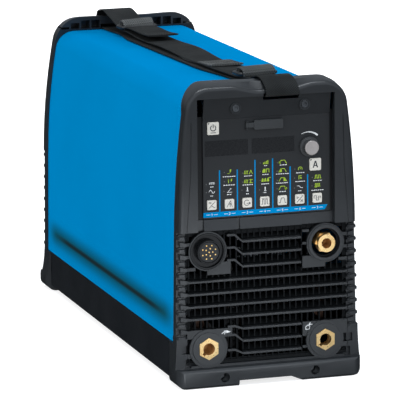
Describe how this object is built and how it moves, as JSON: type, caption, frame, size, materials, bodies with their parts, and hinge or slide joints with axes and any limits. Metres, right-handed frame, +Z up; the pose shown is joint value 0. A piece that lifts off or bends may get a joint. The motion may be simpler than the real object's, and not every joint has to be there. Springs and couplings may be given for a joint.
{
  "type": "tig welding machine",
  "caption": "Portable inverter TIG welding power source: blue sheet cover between black end bezels, key panel with knob, louvred front with weld, gas and remote sockets, webbing carry strap.",
  "frame": {"origin": "centre of the footprint, on the surface that the feet stand on", "axes": "+Z up, +Y from the control panel towards the fan end, +X to the right when facing the control panel"},
  "size_m": [0.219, 0.569, 0.3429],
  "materials": {
    "cover_blue": "satin powder coat",
    "case_black": "fine moulded texture",
    "panel_black": "matt membrane",
    "window_smoke": "smoked window",
    "board_green": "solder mask",
    "steel": "plated",
    "screw_black": "black oxide",
    "knob_grey": "moulded, dark skirt",
    "rubber_black": "matt",
    "key_grey": "moulded",
    "shell_gloss": "glossy",
    "insulator": "moulded",
    "contact_gold": "gold plated",
    "brass": "machined",
    "sink_aluminium": "extruded",
    "capacitor_sleeve": "sleeved",
    "core_iron": "ferrite grey",
    "copper": "enamelled copper",
    "webbing": "woven",
    "buckle_black": "moulded"
  },
  "bodies": {
    "case": {"base_pan": "case_black", "wrap_cover": "cover_blue", "front_bezel": "case_black", "front_grille": "case_black", "rear_bezel": "case_black", "rear_grille": "case_black", "control_panel": "panel_black", "display_windows": "window_smoke", "panel_board": "board_green", "encoder_body": "steel", "card_socket": "case_black", "remote_shell": "shell_gloss", "remote_insert": "insulator", "remote_contacts": "contact_gold", "gas_collar": "case_black", "gas_outlet": "brass", "torch_insulator": "insulator", "torch_socket": "brass", "work_insulator": "insulator", "work_socket": "brass", "socket_nuts": "steel", "hood_screws": "screw_black", "foot_screws": "screw_black", "cord_gland": "case_black", "gas_inlet": "brass", "divider_plate": "steel", "heat_sinks": "sink_aluminium", "board_standoffs": "steel", "power_board": "board_green", "capacitors": "capacitor_sleeve", "transformer_core": "core_iron", "transformer_winding": "copper", "inductor_core": "core_iron", "inductor_winding": "copper", "hf_coil": "copper", "fan_frame": "case_black", "valve_body": "brass", "gas_hose": "rubber_black", "torch_busbar": "copper", "work_busbar": "copper", "strap": "webbing", "front_buckle": "buckle_black", "rear_buckle": "buckle_black"},
    "knob": {"encoder_knob": "knob_grey", "encoder_shaft": "steel"},
    "card_cover": {"card_slot_cover": "rubber_black"},
    "fan": {"fan_rotor": "case_black"},
    "plunger": {"valve_plunger": "steel"},
    "key_power": {"key_power": "key_grey"},
    "key_amps": {"key_amps": "key_grey"},
    "key_1": {"key_1": "key_grey"},
    "key_2": {"key_2": "key_grey"},
    "key_3": {"key_3": "key_grey"},
    "key_4": {"key_4": "key_grey"},
    "key_5": {"key_5": "key_grey"},
    "key_6": {"key_6": "key_grey"},
    "key_7": {"key_7": "key_grey"}
  },
  "joints": [
    {"name": "knob_turn", "type": "hinge", "parent": "case", "child": "knob", "pos_m": [0.0494, -0.2775, 0.2574], "axis": [0, -1, 0], "continuous": true},
    {"name": "card_cover_swing", "type": "hinge", "parent": "case", "child": "card_cover", "pos_m": [-0.0216, -0.2744, 0.285], "axis": [0, 0, -1], "range_deg": [0, 110]},
    {"name": "fan_spin", "type": "hinge", "parent": "case", "child": "fan", "pos_m": [0, 0.2335, 0.098], "axis": [0, 1, 0], "continuous": true},
    {"name": "valve_lift", "type": "slide", "parent": "case", "child": "plunger", "axis": [0, 0, 1], "range_m": [0, 0.0015], "stiffness_N_per_m": 300, "springref_m": -0.004},
    {"name": "key_power_press", "type": "slide", "parent": "case", "child": "key_power", "axis": [0, 1, 0], "range_m": [0, 0.0008], "stiffness_N_per_m": 400, "springref_m": -0.0006},
    {"name": "key_amps_press", "type": "slide", "parent": "case", "child": "key_amps", "axis": [0, 1, 0], "range_m": [0, 0.0008], "stiffness_N_per_m": 400, "springref_m": -0.0006},
    {"name": "key_1_press", "type": "slide", "parent": "case", "child": "key_1", "axis": [0, 1, 0], "range_m": [0, 0.0008], "stiffness_N_per_m": 400, "springref_m": -0.0006},
    {"name": "key_2_press", "type": "slide", "parent": "case", "child": "key_2", "axis": [0, 1, 0], "range_m": [0, 0.0008], "stiffness_N_per_m": 400, "springref_m": -0.0006},
    {"name": "key_3_press", "type": "slide", "parent": "case", "child": "key_3", "axis": [0, 1, 0], "range_m": [0, 0.0008], "stiffness_N_per_m": 400, "springref_m": -0.0006},
    {"name": "key_4_press", "type": "slide", "parent": "case", "child": "key_4", "axis": [0, 1, 0], "range_m": [0, 0.0008], "stiffness_N_per_m": 400, "springref_m": -0.0006},
    {"name": "key_5_press", "type": "slide", "parent": "case", "child": "key_5", "axis": [0, 1, 0], "range_m": [0, 0.0008], "stiffness_N_per_m": 400, "springref_m": -0.0006},
    {"name": "key_6_press", "type": "slide", "parent": "case", "child": "key_6", "axis": [0, 1, 0], "range_m": [0, 0.0008], "stiffness_N_per_m": 400, "springref_m": -0.0006},
    {"name": "key_7_press", "type": "slide", "parent": "case", "child": "key_7", "axis": [0, 1, 0], "range_m": [0, 0.0008], "stiffness_N_per_m": 400, "springref_m": -0.0006}
  ]
}
